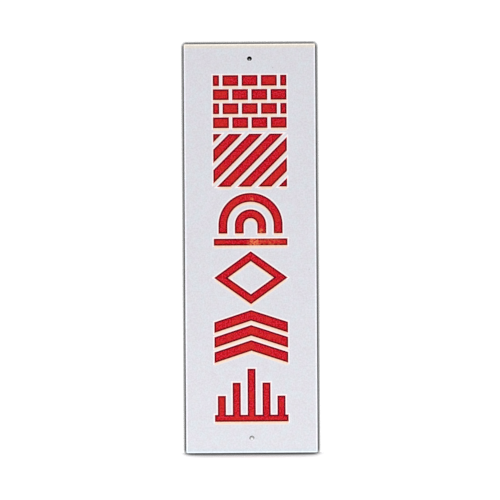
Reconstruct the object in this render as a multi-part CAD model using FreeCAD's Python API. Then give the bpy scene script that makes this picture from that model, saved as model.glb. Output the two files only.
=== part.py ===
import FreeCAD, Part
import os

# No trespassing sign plate: one rectangular sheet of rigid white plastic, screwed flat to a wall or a post.
# Frame, in millimetres: +Z runs up the sign, the printed face looks along -Y, and the origin is the centre
# of the back face, which lies on the wall.

# Sheet
PLATE_WIDTH = 90.0
PLATE_HEIGHT = 280.0
PLATE_THICKNESS = 2.0
CORNER_RADIUS = 0.8
FRONT_EDGE_ROUND = 0.4
BACK_EDGE_ROUND = 0.2

# Fixing holes, one near each end, on the sheet's centre line
HOLE_DIAMETER = 3.5
HOLE_END_DISTANCE = 10.0
HOLE_EDGE_BREAK = 0.2

FRONT_Y = -PLATE_THICKNESS
BACK_Y = 0.0
HOLE_Z = PLATE_HEIGHT / 2 - HOLE_END_DISTANCE


def vec(x, y, z):
    return FreeCAD.Vector(x, y, z)


def sheet_outline():
    """The sheet's outline on the wall plane: four straight sides joined by quarter-round corners."""
    half_width = PLATE_WIDTH / 2
    half_height = PLATE_HEIGHT / 2
    mid_arc = CORNER_RADIUS * (1 - 0.5 ** 0.5)
    edges = []
    ends = []
    for side_x, side_z in ((1, 1), (-1, 1), (-1, -1), (1, -1)):
        corner = vec(side_x * half_width, BACK_Y, side_z * half_height)
        on_side = corner - vec(0, 0, side_z * CORNER_RADIUS)
        on_end = corner - vec(side_x * CORNER_RADIUS, 0, 0)
        middle = corner - vec(side_x * mid_arc, 0, side_z * mid_arc)
        start, stop = (on_side, on_end) if side_x == side_z else (on_end, on_side)
        edges.append(Part.Arc(start, middle, stop).toShape())
        ends.append((start, stop))
    for (_, stop), (start, _) in zip(ends, ends[1:] + ends[:1]):
        edges.append(Part.LineSegment(stop, start).toShape())
    return Part.Wire(Part.__sortEdges__(edges))


def rim_edges(solid, plane_y):
    """The edges round the sheet's outline on one of its two faces."""
    return [edge for edge in solid.Edges
            if abs(edge.BoundBox.YMin - plane_y) < 1e-6 and abs(edge.BoundBox.YMax - plane_y) < 1e-6]


def sheet():
    """The cut sheet, with the rounded front arris and the finer one at its back."""
    blank = Part.Face(sheet_outline()).extrude(vec(0, FRONT_Y - BACK_Y, 0))
    blank = blank.makeFillet(FRONT_EDGE_ROUND, rim_edges(blank, FRONT_Y))
    return blank.makeFillet(BACK_EDGE_ROUND, rim_edges(blank, BACK_Y))


def hole_drill(z):
    """What the drill takes out at one height: a round hole, with its sharp edge broken at both faces."""
    radius = HOLE_DIAMETER / 2
    overrun = HOLE_EDGE_BREAK
    profile = [
        (0, FRONT_Y - overrun),
        (radius + HOLE_EDGE_BREAK + overrun, FRONT_Y - overrun),
        (radius, FRONT_Y + HOLE_EDGE_BREAK),
        (radius, BACK_Y - HOLE_EDGE_BREAK),
        (radius + HOLE_EDGE_BREAK + overrun, BACK_Y + overrun),
        (0, BACK_Y + overrun),
    ]
    points = [vec(r, y, z) for r, y in profile]
    half_section = Part.Face(Part.makePolygon(points + points[:1]))
    return half_section.revolve(vec(0, 0, z), vec(0, 1, 0), 360)


def sign_plate():
    """The finished plate: the sheet with both fixing holes drilled."""
    plate = sheet()
    for z in (HOLE_Z, -HOLE_Z):
        plate = plate.cut(hole_drill(z))
    return plate


PARTS = {"sign_plate": sign_plate}

os.makedirs("parts", exist_ok=True)
for node, make in PARTS.items():
    shape = make()
    solid = shape.Solids[0]
    solid.exportStep("parts/" + node + ".step")
    box = solid.optimalBoundingBox(False)
    print(node, "valid", solid.isValid(), "solids", len(shape.Solids), "volume", round(solid.Volume, 2),
          "size", round(box.XLength, 3), round(box.YLength, 3), round(box.ZLength, 3))
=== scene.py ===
import math

import bmesh
import bpy
from mathutils import Matrix, Vector


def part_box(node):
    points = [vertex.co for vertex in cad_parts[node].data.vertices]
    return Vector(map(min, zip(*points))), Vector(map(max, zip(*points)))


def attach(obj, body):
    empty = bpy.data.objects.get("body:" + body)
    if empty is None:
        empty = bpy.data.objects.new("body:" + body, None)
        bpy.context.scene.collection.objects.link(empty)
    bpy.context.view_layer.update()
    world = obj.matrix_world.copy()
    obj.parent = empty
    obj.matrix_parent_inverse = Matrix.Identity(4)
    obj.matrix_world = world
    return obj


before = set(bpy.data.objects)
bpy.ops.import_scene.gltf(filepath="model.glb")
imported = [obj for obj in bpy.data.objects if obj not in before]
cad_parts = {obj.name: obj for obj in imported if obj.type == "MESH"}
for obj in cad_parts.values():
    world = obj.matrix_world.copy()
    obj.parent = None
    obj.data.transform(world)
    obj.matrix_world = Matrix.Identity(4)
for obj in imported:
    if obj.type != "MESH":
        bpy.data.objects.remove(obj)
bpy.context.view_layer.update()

# A no trespassing sign: one white plastic plate, screen-printed in red. Everything is in metres, in the
# plate's own frame: +Z runs up the sign, the printed face looks along -Y, and the back lies on Y = 0.
MM = 0.001
PLATE_LOW, PLATE_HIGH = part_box("sign_plate")
FACE_Y = PLATE_LOW.y
BACK_Y = PLATE_HIGH.y
HALF_WIDTH = PLATE_HIGH.x
HALF_HEIGHT = PLATE_HIGH.z
HOLE_END_DISTANCE = 10 * MM
HOLE_Z = HALF_HEIGHT - HOLE_END_DISTANCE
HOLE_RADIUS = 1.75 * MM

# The photograph's frame, and where the plate lies in it, in its pixels
FRAME_SIDE = 500
PLATE_HEIGHT_PX = 409.1
PLATE_CENTRE_PX = Vector((250.7, 248.35))
PLATE_LEAN = math.radians(0.38)
PIXEL = 2 * HALF_HEIGHT / PLATE_HEIGHT_PX

# The print: six marks in one column, each as large as the cell that it is printed in
MARK_WIDTH = 50.5 * MM
MARK_HEIGHT = 36.3 * MM
MARK_PITCH = 40.2 * MM
RAIL = 4.8 * MM

# The print's films, with their feet sunk in the plastic so that no gap shows: a white ground a little
# larger than each mark, a thin first coat that has slipped down, and the red coat on top
INK_FOOT = 0.01 * MM
GROUND_THICKNESS = 0.015 * MM
GROUND_MARGIN = 0.9 * MM
COAT_THICKNESS = 0.025 * MM
COAT_DROP = 2.15 * MM
RED_THICKNESS = 0.04 * MM

# Loops along a film's edge, from the edge inwards: how far in from the last, and the share of edge there.
# The red coat has a bead inside a thin lip, and the first coat fades towards its edge.
RED_BEAD_LOOPS = ((0.0, 0.0), (0.22 * MM, 0.0), (0.12 * MM, 1.0), (0.50 * MM, 1.0), (0.65 * MM, 0.0))
COAT_FADE_LOOPS = ((0.0, 1.0), (0.65 * MM, 0.5), (0.65 * MM, 0.0))

# How near points are when they are one, how near a cut when they lie on it, and the angle between two faces
# up to which they are one flat face
JOINED = 1e-6
ON_THE_CUT = 1e-7
FLAT = 0.01

# A noise: the middle of its values, and its detail, which is how many finer layers it has
NOISE_MIDDLE = 0.5
COARSE = 1.0
PLAIN = 2.0
FINE = 3.0

# How strongly a relief shows
RELIEF_STRENGTH = 0.5

# A Mix node's colour sockets, by number, because their names repeat
FIRST_COLOUR = 6
SECOND_COLOUR = 7
MIXED_COLOUR = 2


def on_face(pixel):
    """The point of the plate's face that a pixel of the photograph shows."""
    offset = (Vector(pixel) - PLATE_CENTRE_PX) * PIXEL
    turned = Matrix.Rotation(PLATE_LEAN, 2) @ Vector((offset.x, -offset.y))
    return Vector((turned.x, FACE_Y, turned.y))


class Wire:
    """A node's output socket. Arithmetic on it adds the Math nodes that the expression says."""

    def __init__(self, finish, socket):
        self.finish = finish
        self.socket = socket

    def maths(self, operation, *values):
        return self.finish.node("ShaderNodeMath", {"operation": operation}, dict(enumerate(values)))

    def __add__(self, other):
        return self.maths("ADD", self, other)

    def __sub__(self, other):
        return self.maths("SUBTRACT", self, other)

    def __rsub__(self, other):
        return self.maths("SUBTRACT", other, self)

    def __mul__(self, other):
        return self.maths("MULTIPLY", self, other)

    def __pow__(self, other):
        return self.maths("POWER", self, other)

    def __gt__(self, other):
        return self.maths("GREATER_THAN", self, other)

    def __abs__(self):
        return self.maths("ABSOLUTE", self)

    __radd__ = __add__
    __rmul__ = __mul__

    def root(self):
        """The square root."""
        return self.maths("SQRT", self)

    def lesser(self, other):
        """The lesser of the two."""
        return self.maths("MINIMUM", self, other)

    def greater(self, other):
        """The greater of the two."""
        return self.maths("MAXIMUM", self, other)

    def part(self, name):
        """Another output of the same node."""
        return Wire(self.finish, self.socket.node.outputs[name])


class Finish:
    """The node tree of one material or of the world, built up from nothing."""

    def __init__(self, owner):
        owner.use_nodes = True
        self.owner = owner
        self.tree = owner.node_tree
        self.tree.nodes.clear()

    def node(self, kind, settings=None, sockets=None, output=0):
        """Adds a node: first its settings, then the value or the link of each socket."""
        made = self.tree.nodes.new(kind)
        for name, value in (settings or {}).items():
            setattr(made, name, value)
        for name, value in (sockets or {}).items():
            if isinstance(value, Wire):
                self.tree.links.new(value.socket, made.inputs[name])
            else:
                made.inputs[name].default_value = value
        return Wire(self, made.outputs[output]) if made.outputs else made

    def place(self):
        """Where a point lies in the plate's frame."""
        return self.node("ShaderNodeTexCoord", output="Object")

    def carried(self, name):
        """A number that the mesh carries at its points, or 0 where it carries none."""
        return self.node("ShaderNodeAttribute", {"attribute_name": name}, output="Fac")

    def split(self, vector):
        """A vector's X, Y and Z."""
        made = self.node("ShaderNodeSeparateXYZ", sockets={"Vector": vector})
        return made, made.part("Y"), made.part("Z")

    def stretched(self, vector, scale, turn=(0.0, 0.0, 0.0)):
        """The same place on a pattern that is turned and then drawn out along its axes."""
        return self.node("ShaderNodeMapping", sockets={"Vector": vector, "Rotation": turn, "Scale": scale})

    def noise(self, vector, feature, detail=PLAIN):
        """Cloudy noise from 0 to 1 whose patches are about as large as feature."""
        sockets = {"Vector": vector, "Scale": 1 / feature, "Detail": detail}
        return self.node("ShaderNodeTexNoise", sockets=sockets, output="Fac")

    def ramp(self, value, start, stop, low=0.0, high=1.0):
        """A smooth step from low to high as value goes from start to stop."""
        return self.node(
            "ShaderNodeMapRange",
            {"interpolation_type": "SMOOTHSTEP"},
            {"Value": value, "From Min": start, "From Max": stop, "To Min": low, "To Max": high},
        )

    def within(self, value, near, far):
        """1 up to near, fading to 0 at far."""
        return 1 - self.ramp(value, near, far)

    def distance(self, vector, point):
        sockets = {0: vector, 1: point}
        return self.node("ShaderNodeVectorMath", {"operation": "DISTANCE"}, sockets, output="Value")

    def spot(self, place, pixel, reach, core):
        """1 in the core of a spot on the face, a share of its reach, fading to 0 at the reach."""
        return self.within(self.distance(place, on_face(pixel)), reach * core, reach)

    def blend(self, share, first, second):
        """The first colour, giving way to the second as share goes from 0 to 1."""
        sockets = {"Factor": share, FIRST_COLOUR: first, SECOND_COLOUR: second}
        return self.node("ShaderNodeMix", {"data_type": "RGBA"}, sockets, output=MIXED_COLOUR)

    def brightened(self, colour, factor):
        return self.node("ShaderNodeVectorMath", {"operation": "SCALE"}, {0: colour, "Scale": factor})

    def shaded(self, colour, *patterns):
        """The colour, lighter and darker in patches: each pattern is a noise, and how much it changes."""
        factor = 1
        for noise, amount in patterns:
            factor = factor + (noise - NOISE_MIDDLE) * amount
        return self.brightened(colour, factor)

    def relief(self, height, depth):
        """Fine relief: height from 0 to 1, as deep as depth."""
        sockets = {"Height": height, "Distance": depth, "Strength": RELIEF_STRENGTH}
        return self.node("ShaderNodeBump", sockets=sockets)

    def surface(self, shader):
        """Ends the tree with this shader."""
        is_world = isinstance(self.owner, bpy.types.World)
        kind = "ShaderNodeOutputWorld" if is_world else "ShaderNodeOutputMaterial"
        self.node(kind, sockets={"Surface": shader})
        return self.owner


# The plate's finish

SHEET_IOR = 1.49
SHEET_WARM = (0.723, 0.714, 0.755, 1.0)
SHEET_COOL = (0.690, 0.724, 0.773, 1.0)
SHEET_ROSE = (0.726, 0.700, 0.770, 1.0)
SHEET_YELLOWED = (0.785, 0.728, 0.657, 1.0)
SHEET_BLUISH = (0.662, 0.714, 0.775, 1.0)
SHEET_SAWN = (0.77, 0.77, 0.79, 1.0)
SHEET_DIRT = (0.30, 0.28, 0.27, 1.0)

# How far a surface faces front or back: it is a cut edge up to the first, and a face from the second. A face
# that lies this near to the back is the plate's back.
CUT_TO_FACE = (0.35, 0.9)
NEAR_BACK = 0.1 * MM

# Patterns of the sheet's colour: how large their patches are, and how much they lighten and darken
CLOUD_SIZE = 26 * MM
CLOUD_SHADE = 0.04
BLOTCH_SIZE = 5 * MM
BLOTCH_SHADE = 0.07
GRAIN_SIZE = 1.1 * MM
GRAIN_SHADE = 0.34
SPECKLE_SIZE = 4.2 * MM

# The cool tint comes in with the blotches, and behind it is evener, with some of it all over. The rose tint
# comes in with the speckles, in front only.
COOL_RANGE = (0.35, 0.65)
BACK_EVENNESS = 0.7
BACK_COOLNESS = 0.35
ROSE_RANGE = (0.4, 0.62)
ROSE_SHARE = 0.8

# Tinted strips along the two ends: how far from the end each is full, and where it has gone
YELLOWED_TOP = (2.0 * MM, 3.8 * MM)
BLUISH_FOOT = (1.8 * MM, 3.8 * MM)

# Lighter plastic: a painted highlight in full along the front arris, and drill whitening, less round
# the top hole and least round the lower one
WHITENING_AND_HIGHLIGHT = 0.34
ARRIS_HIGHLIGHT = (0.85 * MM, 1.25 * MM)
WHITENED_RING = (HOLE_RADIUS + 0.2 * MM, HOLE_RADIUS + 0.9 * MM)
RING_SHARE = 0.25
TOP_RING_EXTRA = 0.30

# Short sawn lines over the cut edges
SAW_LINE_WIDTH = 0.22 * MM
SAW_LINE_STRETCH = (1.0, 0.03, 1.0)
SAW_LINE_SHADE = 0.12
SAW_LINE_DEPTH = 3

# Long fine scuffs that lean over the back
SCUFF_WIDTH = 0.5 * MM
SCUFF_STRETCH = (1.0, 1.0, 0.02)
SCUFF_LEAN = (0.0, math.radians(28), 0.0)
SCUFF_RANGE = (0.54, 0.66)
SCUFF_SHADE = 0.06
BACK_SHADE = 0.02

# Specks of dirt on the face, where the photograph has them: pixel and radius
SPECKS = (((275.0, 68.0), 0.42 * MM), ((271.0, 76.0), 0.30 * MM), ((309.0, 270.0), 0.45 * MM))
SPECK_CORE = 0.4
SPECK_SHARE = 0.6

# The sheet's roughness, what adds to it, and its fine relief
SHEET_ROUGHNESS = 0.30
SMUDGE_SIZE = 40 * MM
SMUDGE_ROUGHNESS = 0.10
GRAIN_ROUGHNESS = 0.06
SAWN_ROUGHNESS = 0.22
SCUFF_ROUGHNESS = 0.15
SKIN_SIZE = 0.9 * MM
SKIN_DEPTH = 0.004 * MM


def mottled(finish, place, grain, behind):
    """The sheet's own colour: near whites in patches, plainer behind, and a tint along each end in front."""
    in_front = 1 - behind
    height = finish.split(place)[2]
    cloud = finish.noise(place, CLOUD_SIZE)
    blotch = finish.noise(place, BLOTCH_SIZE, detail=FINE)
    speckle = finish.noise(place, SPECKLE_SIZE, detail=FINE)
    cool = finish.ramp(blotch, *COOL_RANGE) * (1 - behind * BACK_EVENNESS) + behind * BACK_COOLNESS
    rosy = finish.ramp(speckle, *ROSE_RANGE) * ROSE_SHARE * in_front
    yellowed = finish.within(HALF_HEIGHT - height, *YELLOWED_TOP) * in_front
    bluish = finish.within(HALF_HEIGHT + height, *BLUISH_FOOT) * in_front
    colour = finish.blend(cool, SHEET_WARM, SHEET_COOL)
    colour = finish.blend(rosy, colour, SHEET_ROSE)
    colour = finish.blend(yellowed, colour, SHEET_YELLOWED)
    colour = finish.blend(bluish, colour, SHEET_BLUISH)
    return finish.shaded(colour, (cloud, CLOUD_SHADE), (blotch, BLOTCH_SHADE), (grain, GRAIN_SHADE))


def whitened_and_highlit(finish, place, behind):
    """How much lighter the plastic is: drill whitening round each hole, and a painted highlight along the
    front arris.
    """
    x, _, z = finish.split(place)
    offset = abs(z) - HOLE_Z
    from_hole = (x * x + offset * offset).root()
    ring = finish.within(from_hole, *WHITENED_RING) * (RING_SHARE + (z > 0.0) * TOP_RING_EXTRA)
    to_edge = (HALF_WIDTH - abs(x)).lesser(HALF_HEIGHT - abs(z))
    arris_highlight = finish.within(to_edge, *ARRIS_HIGHLIGHT) * (1 - behind)
    return ring.greater(arris_highlight)


def white_sheet():
    """White plastic sheet: faintly mottled, satin on its faces, sawn at its edges and scuffed behind."""
    finish = Finish(bpy.data.materials.new("white_sheet_satin"))
    place = finish.place()
    normal = finish.node("ShaderNodeTexCoord", output="Normal")
    cut = finish.within(abs(finish.split(normal)[1]), *CUT_TO_FACE)
    behind = (finish.split(place)[1] > BACK_Y - NEAR_BACK) * (1 - cut)
    grain = finish.noise(place, GRAIN_SIZE)
    saw = finish.noise(finish.stretched(place, SAW_LINE_STRETCH), SAW_LINE_WIDTH, detail=FINE)
    scuff = finish.noise(finish.stretched(place, SCUFF_STRETCH, SCUFF_LEAN), SCUFF_WIDTH, detail=FINE)
    scuffed = behind * finish.ramp(scuff, *SCUFF_RANGE)

    colour = finish.blend(cut, mottled(finish, place, grain, behind), SHEET_SAWN)
    colour = finish.brightened(colour, 1 - cut * saw * SAW_LINE_SHADE)
    colour = finish.brightened(colour, 1 - behind * BACK_SHADE - scuffed * SCUFF_SHADE)
    # Painted highlight along the front arris, with drill whitening round the holes
    colour = finish.brightened(colour, 1 + whitened_and_highlit(finish, place, behind) * WHITENING_AND_HIGHLIGHT)
    for pixel, radius in SPECKS:
        speck = finish.spot(place, pixel, radius, SPECK_CORE)
        colour = finish.blend(speck * SPECK_SHARE, colour, SHEET_DIRT)

    smudge = finish.noise(place, SMUDGE_SIZE, detail=FINE)
    rough = SHEET_ROUGHNESS + smudge * SMUDGE_ROUGHNESS + grain * GRAIN_ROUGHNESS
    rough = rough + cut * SAWN_ROUGHNESS + scuffed * SCUFF_ROUGHNESS
    skin = finish.noise(place, SKIN_SIZE) * (1 - cut) + saw * cut * SAW_LINE_DEPTH
    shader = finish.node(
        "ShaderNodeBsdfPrincipled",
        sockets={
            "Base Color": colour,
            "Roughness": rough,
            "IOR": SHEET_IOR,
            "Normal": finish.relief(skin, SKIN_DEPTH),
        },
    )
    return finish.surface(shader)


# The inks' finishes

INK_IOR = 1.5

# The white ground and the first coat: their colours where they are thick and where they are thin, and the
# colour that the coat fades to at its edge
GROUND_THICK = (0.99, 0.93, 0.93, 1.0)
GROUND_THIN = (0.98, 0.88, 0.89, 1.0)
COAT_THICK = (0.95, 0.66, 0.50, 1.0)
COAT_THIN = (0.94, 0.77, 0.62, 1.0)
COAT_FADED = (0.86, 0.78, 0.76, 1.0)
THIN_GRAIN_SIZE = 1.2 * MM
THIN_RANGE = (0.35, 0.65)
THIN_ROUGHNESS = 0.36
THIN_GRAIN_ROUGHNESS = 0.12
THIN_SPECULAR = 0.3
THIN_DEPTH = 0.004 * MM

# The red coat, and its bead: browner along edges that face down, more purple along those that face up
RED_PALE = (0.72, 0.022, 0.048, 1.0)
RED_DEEP = (0.52, 0.0002, 0.003, 1.0)
RED_SCARLET = (0.635, 0.024, 0.016, 1.0)
# A painted glint: pale orange that stands in for light glinting on the red
RED_GLINT = (0.90, 0.22, 0.09, 1.0)
BEAD_LOW = (0.115, 0.0003, 0.0003, 1.0)
BEAD_HIGH = (0.095, 0.0003, 0.012, 1.0)

# Patterns of the red coat: how large their patches are, and how much they lighten and darken
RED_CLOUD_SIZE = 14 * MM
RED_CLOUD_SHADE = 0.14
RED_GRAIN_SIZE = 1.0 * MM
RED_GRAIN_SHADE = 0.25
RED_MESH_SIZE = 0.7 * MM
RED_MESH_SHADE = 1.0
RED_BLOTCH_SIZE = 8.0 * MM
GLINT_FLECK_SIZE = 1.4 * MM

# Values between which each comes in: pale red with the grain, scarlet with the blotches, the bead with the
# edge, its high colour with the rise, and the painted glint with its own fleck pattern
PALE_RANGE = (0.44, 0.59)
SCARLET_RANGE = (0.47, 0.60)
SCARLET_SHARE = 0.6
BEAD_RANGE = (0.1, 0.9)
RISE_RANGE = (0.2, 0.8)
GLINT_FLECK_RANGE = (0.40, 0.56)

# Painted glints of light on the red ink, where the photograph has them: pixel, reach and how much at most
GLINT_SPOTS = (
    ((254.0, 242.0), 5.6 * MM, 0.95),
    ((262.0, 231.5), 2.8 * MM, 0.7),
    ((270.0, 242.0), 12.0 * MM, 0.3),
    ((252.5, 199.5), 1.8 * MM, 0.7),
)
GLINT_CORE = 0.2

# The red coat's roughness, what changes it, and its fine relief
RED_ROUGHNESS = 0.34
RED_GRAIN_ROUGHNESS = 0.14
RED_MESH_ROUGHNESS = 0.05
BEAD_GLOSS = 0.08
RED_SPECULAR = 0.05
RED_DEPTH = 0.006 * MM


def thin_ink(name, thick, thin, faded):
    """A thin even coat that shows a little of the sheet's grain, and fades where it carries an edge."""
    finish = Finish(bpy.data.materials.new(name))
    grain = finish.noise(finish.place(), THIN_GRAIN_SIZE, detail=FINE)
    colour = finish.blend(finish.ramp(grain, *THIN_RANGE), thick, thin)
    shader = finish.node(
        "ShaderNodeBsdfPrincipled",
        sockets={
            "Base Color": finish.blend(finish.carried("ink_edge"), colour, faded),
            "Roughness": THIN_ROUGHNESS + grain * THIN_GRAIN_ROUGHNESS,
            "IOR": INK_IOR,
            "Specular IOR Level": THIN_SPECULAR,
            "Normal": finish.relief(grain, THIN_DEPTH),
        },
    )
    return finish.surface(shader)


def red_ink():
    """Screen-printed red ink: dense and faintly grainy, darker in the bead along its edges, with a painted
    glint on the third mark.
    """
    finish = Finish(bpy.data.materials.new("red_ink_satin"))
    place = finish.place()
    edge = finish.carried("ink_edge")
    rise = finish.carried("ink_rise")
    cloud = finish.noise(place, RED_CLOUD_SIZE)
    blotch = finish.noise(place, RED_BLOTCH_SIZE)
    grain = finish.noise(place, RED_GRAIN_SIZE, detail=COARSE)
    mesh = finish.noise(place, RED_MESH_SIZE, detail=COARSE)
    colour = finish.blend(finish.ramp(grain, *PALE_RANGE), RED_DEEP, RED_PALE)
    colour = finish.blend(finish.ramp(blotch, *SCARLET_RANGE) * SCARLET_SHARE, colour, RED_SCARLET)
    bead = finish.blend(finish.ramp(rise, *RISE_RANGE), BEAD_LOW, BEAD_HIGH)
    colour = finish.blend(finish.ramp(edge, *BEAD_RANGE), colour, bead)
    patterns = ((cloud, RED_CLOUD_SHADE), (grain, RED_GRAIN_SHADE), (mesh, RED_MESH_SHADE))
    colour = finish.shaded(colour, *patterns)

    # Painted glint of light on the third mark, most of all at its rail, in pale orange specks
    glint_flecks = finish.ramp(finish.noise(place, GLINT_FLECK_SIZE), *GLINT_FLECK_RANGE)
    for pixel, reach, most in GLINT_SPOTS:
        near = finish.spot(place, pixel, reach, GLINT_CORE)
        colour = finish.blend(near * glint_flecks * most, colour, RED_GLINT)

    rough = RED_ROUGHNESS + grain * RED_GRAIN_ROUGHNESS + mesh * RED_MESH_ROUGHNESS - edge * BEAD_GLOSS
    shader = finish.node(
        "ShaderNodeBsdfPrincipled",
        sockets={
            "Base Color": colour,
            "Roughness": rough,
            "IOR": INK_IOR,
            "Specular IOR Level": RED_SPECULAR,
            "Normal": finish.relief(mesh, RED_DEPTH),
        },
    )
    return finish.surface(shader)


# Marks. Each is drawn flat, as seen by the reader: X to the right, Y up, centred on its cell.

def rectangle(bm, left, right, low, high):
    """A flat rectangle."""
    made = bmesh.ops.create_grid(bm, x_segments=1, y_segments=1, size=0.5)["verts"]
    bmesh.ops.scale(bm, verts=made, vec=(right - left, high - low, 1.0))
    bmesh.ops.translate(bm, verts=made, vec=((left + right) / 2, (low + high) / 2, 0.0))


def slit(bm, point, across):
    """Cuts every face along the line through point that is square to across."""
    whole_mark = bm.verts[:] + bm.edges[:] + bm.faces[:]
    bmesh.ops.bisect_plane(
        bm, geom=whole_mark, dist=ON_THE_CUT, plane_co=(*point, 0.0), plane_no=(*across, 0.0)
    )


def clear(bm, is_gap):
    """Takes out the faces whose middle is in a gap."""
    gaps = [face for face in bm.faces if is_gap(face.calc_center_median())]
    bmesh.ops.delete(bm, geom=gaps, context="FACES")


def points_and_lines(made):
    """The points, and apart from them the lines, of what an operator made."""
    points = [item for item in made if isinstance(item, bmesh.types.BMVert)]
    lines = [item for item in made if isinstance(item, bmesh.types.BMEdge)]
    return points, lines


def drawn_out(bm, lines, step):
    """Draws lines out into faces by that step, and gives the points and the lines that they end in."""
    points, ends = points_and_lines(bmesh.ops.extrude_edge_only(bm, edges=lines)["geom"])
    bmesh.ops.translate(bm, verts=points, vec=step)
    return points, ends


def inset(bm, faces, width):
    """Sets the faces' common edge in by width, or out where width is below 0, and gives the ring between."""
    return bmesh.ops.inset_region(
        bm, faces=faces, thickness=width, use_even_offset=True, use_boundary=True
    )["faces"]


def brick_courses():
    """Four courses of bricks with open joints, half a brick out of step from one course to the next."""
    courses = 4
    bricks = 4
    joint = 2.2 * MM
    brick_width = (MARK_WIDTH + joint) / bricks - joint
    brick_height = (MARK_HEIGHT + joint) / courses - joint
    bm = bmesh.new()
    for course in range(courses):
        out_of_step = course % 2
        low = -MARK_HEIGHT / 2 + course * (brick_height + joint)
        shift = -0.5 * (brick_width + joint) * out_of_step
        for place in range(bricks + out_of_step):
            left = -MARK_WIDTH / 2 + shift + place * (brick_width + joint)
            right = min(left + brick_width, MARK_WIDTH / 2)
            rectangle(bm, max(left, -MARK_WIDTH / 2), right, low, low + brick_height)
    return bm


def slanting_stripes():
    """Broad stripes that lean half over, cut off square at the edges of their cell."""
    stripe = 6.6 * MM
    gap = 3.3 * MM
    pitch = stripe + gap
    stripes_each_side = 3
    across = Vector((1.0, -1.0)).normalized()
    bm = bmesh.new()
    rectangle(bm, -MARK_WIDTH / 2, MARK_WIDTH / 2, -MARK_HEIGHT / 2, MARK_HEIGHT / 2)
    for place in range(-stripes_each_side, stripes_each_side + 1):
        for side in (-0.5, 0.5):
            slit(bm, across * (place * pitch + side * stripe), across)

    def is_gap(middle):
        from_nearest = abs((middle.xy.dot(across) / pitch + 0.5) % 1 - 0.5) * pitch
        return from_nearest > stripe / 2

    clear(bm, is_gap)
    return bm


def nested_arches():
    """Two round arches, one inside the other, over a long rail."""
    band = 6.2 * MM
    outer_radii = (22.0 * MM, 10.8 * MM)
    gap = 3.4 * MM
    leg = 5.8 * MM
    foot = -MARK_HEIGHT / 2 + RAIL + gap
    spring = foot + leg
    steps = 48
    bm = bmesh.new()
    rectangle(bm, -MARK_WIDTH / 2, MARK_WIDTH / 2, -MARK_HEIGHT / 2, -MARK_HEIGHT / 2 + RAIL)
    for outer in outer_radii:
        start = [bm.verts.new((radius, foot, 0.0)) for radius in (outer - band, outer)]
        points, ends = drawn_out(bm, [bm.edges.new(start)], (0.0, leg, 0.0))
        turned = bmesh.ops.spin(
            bm, geom=points + ends, cent=(0.0, spring, 0.0), axis=(0.0, 0.0, 1.0), angle=math.pi, steps=steps
        )["geom_last"]
        drawn_out(bm, points_and_lines(turned)[1], (0.0, -leg, 0.0))
    return bm


def open_diamond():
    """A lozenge of one line."""
    line = 5.6 * MM
    bm = bmesh.new()
    bmesh.ops.create_circle(bm, cap_ends=True, segments=4, radius=1.0)
    bmesh.ops.scale(bm, verts=bm.verts[:], vec=(MARK_WIDTH / 2, MARK_HEIGHT / 2, 1.0))
    middle = bm.faces[:]
    inset(bm, middle, line)
    bmesh.ops.delete(bm, geom=middle, context="FACES")
    return bm


def stacked_chevrons():
    """Three broad chevrons, point up, one over another."""
    chevrons = 3
    band = 7.4 * MM
    gap = 2.9 * MM
    rise = MARK_HEIGHT - chevrons * band - (chevrons - 1) * gap
    bm = bmesh.new()
    for place in range(chevrons):
        top = MARK_HEIGHT / 2 - rise - place * (band + gap)
        start = [bm.verts.new((-MARK_WIDTH / 2, level, 0.0)) for level in (top - band, top)]
        ends = [bm.edges.new(start)]
        for slope in (rise, -rise):
            ends = drawn_out(bm, ends, (MARK_WIDTH / 2, slope, 0.0))[1]
    return bm


def palisade():
    """Five posts on a long rail, the middle one tallest."""
    post = 5.6 * MM
    spacing = 10.2 * MM
    heights = (31.5 * MM, 22 * MM, 13 * MM)
    posts_each_side = len(heights) - 1
    base = -MARK_HEIGHT / 2 + RAIL
    bm = bmesh.new()
    rectangle(bm, -MARK_WIDTH / 2, MARK_WIDTH / 2, -MARK_HEIGHT / 2, MARK_HEIGHT / 2)
    slit(bm, (0.0, base), (0.0, 1.0))
    for height in heights[1:]:
        slit(bm, (0.0, base + height), (0.0, 1.0))
    for place in range(-posts_each_side, posts_each_side + 1):
        for side in (-0.5, 0.5):
            slit(bm, (place * spacing + side * post, 0.0), (1.0, 0.0))

    def is_gap(middle):
        place = round(middle.x / spacing)
        if middle.y < base:
            return False
        if abs(place) > posts_each_side or abs(middle.x - place * spacing) > post / 2:
            return True
        return middle.y - base > heights[abs(place)]

    clear(bm, is_gap)
    bmesh.ops.dissolve_limit(bm, angle_limit=FLAT, verts=bm.verts[:], edges=bm.edges[:])
    return bm


MARKS = {
    "mark_1_brick_courses": brick_courses,
    "mark_2_slanting_stripes": slanting_stripes,
    "mark_3_nested_arches": nested_arches,
    "mark_4_open_diamond": open_diamond,
    "mark_5_stacked_chevrons": stacked_chevrons,
    "mark_6_palisade": palisade,
}


# Films. A mark becomes whole, gets its margin or its edge loops, and then its thickness.

def whole(bm):
    """A mark with its pieces joined and all its faces towards the reader."""
    bmesh.ops.remove_doubles(bm, verts=bm.verts[:], dist=JOINED)
    bmesh.ops.recalc_face_normals(bm, faces=bm.faces[:])
    if bm.faces[:][0].normal.z < 0:
        bmesh.ops.reverse_faces(bm, faces=bm.faces[:])
    return bm


def grown(bm, margin):
    """The mark made larger by a margin all round."""
    ring = inset(bm, bm.faces[:], -margin)
    bmesh.ops.delete(bm, geom=ring, context="FACES")
    return bm


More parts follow.
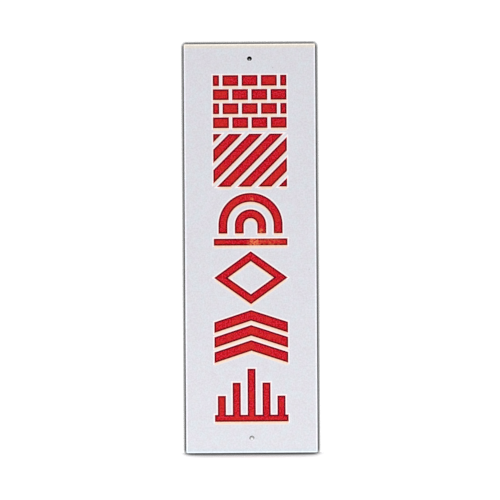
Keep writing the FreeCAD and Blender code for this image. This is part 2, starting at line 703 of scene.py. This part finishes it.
def edged(bm, loops):
    """The mark with these loops along its edge, each with its share as ink_edge.

    ink_rise is 1 along edges that face up the sign, and 0 along those that face down.
    """
    edge = bm.verts.layers.float.new("ink_edge")
    rise = bm.verts.layers.float.new("ink_rise")
    for vert in bm.verts:
        outward = Vector((0.0, 0.0, 0.0))
        for loop in (loop for link in vert.link_edges if link.is_boundary for loop in link.link_loops):
            along = loop.link_loop_next.vert.co - loop.vert.co
            outward += along.cross(loop.face.normal).normalized()
        vert[edge] = loops[0][1]
        vert[rise] = 0.5 + outward.normalized().y / 2
    inside = bm.faces[:]
    for width, share in loops[1:]:
        inset(bm, inside, width)
        for vert in {vert for face in inside for vert in face.verts}:
            vert[edge] = share
    return bm


def in_order(bm):
    """Puts the faces in the order of their points, so that every run gives the same mesh."""
    bm.verts.index_update()
    faces = sorted(bm.faces, key=lambda face: [vert.index for vert in face.verts])
    for index, face in enumerate(faces):
        face.index = index
    bm.faces.sort()


def stood_up(place):
    """The turn that makes what is drawn flat face the reader, at that place."""
    return Matrix.Translation(place) @ Matrix.Rotation(math.pi / 2, 4, "X")


def linked(name, bm, material):
    """An object of that mesh and material, in the scene."""
    mesh = bpy.data.meshes.new(name)
    bm.to_mesh(mesh)
    bm.free()
    mesh.materials.append(material)
    made = bpy.data.objects.new(name, mesh)
    bpy.context.scene.collection.objects.link(made)
    return made


def film(bm, name, height, thickness, ink):
    """Makes a flat mark a closed film on the plate's face, centred at that height."""
    made = bmesh.ops.extrude_face_region(bm, geom=bm.faces[:], use_keep_orig=True)["geom"]
    bmesh.ops.translate(bm, verts=points_and_lines(made)[0], vec=(0.0, 0.0, thickness + INK_FOOT))
    bmesh.ops.recalc_face_normals(bm, faces=bm.faces[:])
    bmesh.ops.transform(bm, verts=bm.verts[:], matrix=stood_up((0.0, FACE_Y + INK_FOOT, height)))
    in_order(bm)
    piece = linked(name, bm, ink)
    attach(piece, "root")


def dress():
    """Gives the plate its finish and prints the marks on it, from the top down."""
    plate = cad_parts["sign_plate"]
    plate.material_slots[0].material = white_sheet()
    white = thin_ink("white_ground_satin", GROUND_THICK, GROUND_THIN, GROUND_THICK)
    pale = thin_ink("first_coat_satin", COAT_THICK, COAT_THIN, COAT_FADED)
    red = red_ink()
    for place, (name, draw) in enumerate(MARKS.items()):
        height = ((len(MARKS) - 1) / 2 - place) * MARK_PITCH
        ground = grown(whole(draw()), GROUND_MARGIN)
        film(ground, name + "_ground", height, GROUND_THICKNESS, white)
        coat = edged(whole(draw()), COAT_FADE_LOOPS)
        film(coat, name + "_first_coat", height - COAT_DROP, COAT_THICKNESS, pale)
        film(edged(whole(draw()), RED_BEAD_LOOPS), name, height, RED_THICKNESS, red)


# Stage

STAGE_HALF = 1.6
WHITE = (1.0, 1.0, 1.0, 1.0)

# The floor darkens near the plate, by two reaches and depths of shade, and less beside it than before it
FLOOR_Z = -HALF_HEIGHT
FLOOR_LIFT = 0.45
FLOOR_DEEPEST = 0.05
FLOOR_NEAR = (11 * MM, 6.0)
FLOOR_FAR = (24 * MM, 2.5)
FLOOR_BESIDE = (HALF_WIDTH - 4 * MM, HALF_WIDTH + 4 * MM)
FLOOR_BESIDE_LESS = 0.75

WALL_Y = BACK_Y + 0.3 * MM
WALL_LIFT = 0.18
WALL_DEEPEST = 0.0
WALL_REACH = 2.6 * MM
WALL_DEPTH = 6.0

# The wall seen through each hole. A patch of light lies drop below the hole's middle, narrowed across. It
# fades from near to far, and the depth of the shade goes from in_light to in_shade.
SEEN_THROUGH = (2.5 * MM, 3.5 * MM)
TOP_HOLE = {
    "height": HOLE_Z,
    "drop": 0.8 * MM,
    "narrowing": 1.7,
    "near": 0.8 * MM,
    "far": 1.7 * MM,
    "in_light": 1.5,
    "in_shade": 12.0,
}
BOTTOM_HOLE = {
    "height": -HOLE_Z,
    "drop": 1.3 * MM,
    "narrowing": 1.2,
    "near": 0.9 * MM,
    "far": 2.3 * MM,
    "in_light": 0.25,
    "in_shade": 1.7,
}


def white_stage(finish, lift, deepest, *corners):
    """A matt white a little over full, so that it is white wherever no shadow falls.

    Near other things it darkens towards the grey deepest: each of corners is its reach and its depth.
    From behind it is see-through.
    """
    matt = finish.node("ShaderNodeBsdfDiffuse", sockets={"Color": WHITE})
    more = finish.node("ShaderNodeBsdfDiffuse", sockets={"Color": (lift, lift, lift, 1.0)})
    white = finish.node("ShaderNodeAddShader", sockets={0: matt, 1: more})
    dark = finish.node("ShaderNodeBsdfDiffuse", sockets={"Color": (deepest, deepest, deepest, 1.0)})
    light = 1.0
    for reach, depth in corners:
        open_to = finish.node("ShaderNodeAmbientOcclusion", sockets={"Distance": reach}, output="AO")
        light = open_to**depth * light
    front = finish.node("ShaderNodeMixShader", sockets={"Fac": light, 1: dark, 2: white})
    behind = finish.node("ShaderNodeNewGeometry", output="Backfacing")
    through = finish.node("ShaderNodeBsdfTransparent")
    return finish.surface(finish.node("ShaderNodeMixShader", sockets={"Fac": behind, 1: front, 2: through}))


def hole_depth(finish, place, around, height, drop, narrowing, near, far, in_light, in_shade):
    """The depth of the wall's shade: its own in the hole at that height, and around everywhere else."""
    inside = finish.within(finish.distance(place, (0.0, WALL_Y, height)), *SEEN_THROUGH)
    narrowed = finish.stretched(place, (narrowing, 1.0, 1.0))
    from_light = finish.distance(narrowed, (0.0, WALL_Y, height - drop))
    return around * (1 - inside) + finish.ramp(from_light, near, far, in_light, in_shade) * inside


def wall_white():
    """The wall's white. In the plate's holes its shade is deepest at their tops."""
    finish = Finish(bpy.data.materials.new("wall_white"))
    place = finish.place()
    depth = hole_depth(finish, place, WALL_DEPTH, **TOP_HOLE)
    depth = hole_depth(finish, place, depth, **BOTTOM_HOLE)
    return white_stage(finish, WALL_LIFT, WALL_DEEPEST, (WALL_REACH, depth))


def floor_white():
    """The floor's white, darkest in front of the plate and behind it."""
    finish = Finish(bpy.data.materials.new("floor_white"))
    beside = finish.ramp(abs(finish.split(finish.place())[0]), *FLOOR_BESIDE)
    corners = [(reach, depth * (1 - beside * FLOOR_BESIDE_LESS)) for reach, depth in (FLOOR_NEAR, FLOOR_FAR)]
    return white_stage(finish, FLOOR_LIFT, FLOOR_DEEPEST, *corners)


def stage_plane(name, matrix, white):
    """A large plane that only the camera sees, so that it takes shadows and casts none."""
    bm = bmesh.new()
    bmesh.ops.create_grid(bm, x_segments=1, y_segments=1, size=STAGE_HALF, matrix=matrix)
    plane = linked(name, bm, white)
    for ray in ("diffuse", "glossy", "transmission", "shadow", "volume_scatter"):
        setattr(plane, "visible_" + ray, False)


def build_stage():
    """A wall close behind the sign, and a floor that it stands on."""
    stage_plane("wall", stood_up((0.0, WALL_Y, 0.0)), wall_white())
    stage_plane("floor", Matrix.Translation((0.0, 0.0, FLOOR_Z)), floor_white())


# Light

AMBIENT = 0.47
SIGN_MIDDLE = (0.0, 0.0, 0.0)
BELOW_MIDDLE = (0.0, 0.0, -0.05)


def light_world():
    """Even light from all round. The camera and reflections see plain white."""
    finish = Finish(bpy.data.worlds.new("studio"))
    camera = finish.node("ShaderNodeLightPath", output="Is Camera Ray")
    seen = camera.greater(camera.part("Is Glossy Ray")).greater(camera.part("Is Transmission Ray"))
    strength = seen * (1 - AMBIENT) + AMBIENT
    shader = finish.node("ShaderNodeBackground", sockets={"Color": WHITE, "Strength": strength})
    bpy.context.scene.world = finish.surface(shader)


def lamp(name, kind, location, target, energy, **shape):
    """A lamp that points at target."""
    data = bpy.data.lights.new(name, kind)
    data.energy = energy
    for key, value in shape.items():
        setattr(data, key, value)
    made = bpy.data.objects.new(name, data)
    bpy.context.scene.collection.objects.link(made)
    made.location = location
    made.rotation_euler = (Vector(target) - Vector(location)).to_track_quat("-Z", "Y").to_euler()


def light_lamps():
    """A soft sun high in front, a low soft fill that lifts the sign's foot, and a soft sun behind."""
    lamp("key", "SUN", (0.0, -1.0, 0.9), SIGN_MIDDLE, energy=1.18, angle=math.radians(14))
    lamp(
        "low_fill",
        "AREA",
        (0.0, -0.75, -0.55),
        BELOW_MIDDLE,
        energy=3.1,
        shape="RECTANGLE",
        size=1.0,
        size_y=0.4,
    )
    lamp("back_light", "SUN", (-0.6, 1.0, 0.08), SIGN_MIDDLE, energy=1.76, angle=math.radians(25))


# Camera

LENS = 80.0
SENSOR = 36.0


def place_camera():
    """Looks straight at the sign, which leans a little in the photograph's frame."""
    data = bpy.data.cameras.new("camera")
    data.lens = LENS
    data.sensor_width = SENSOR
    camera = bpy.data.objects.new("camera", data)
    bpy.context.scene.collection.objects.link(camera)
    distance = FRAME_SIDE * PIXEL * LENS / SENSOR
    middle = on_face((FRAME_SIDE / 2, FRAME_SIDE / 2))
    camera.location = (middle.x, FACE_Y - distance, middle.z)
    straight_on = Matrix.Rotation(math.pi / 2, 3, "X")
    camera.rotation_euler = (Matrix.Rotation(PLATE_LEAN, 3, "Y") @ straight_on).to_euler()
    bpy.context.scene.camera = camera


dress()
build_stage()
light_world()
light_lamps()
place_camera()
bpy.context.scene.view_settings.view_transform = "Standard"
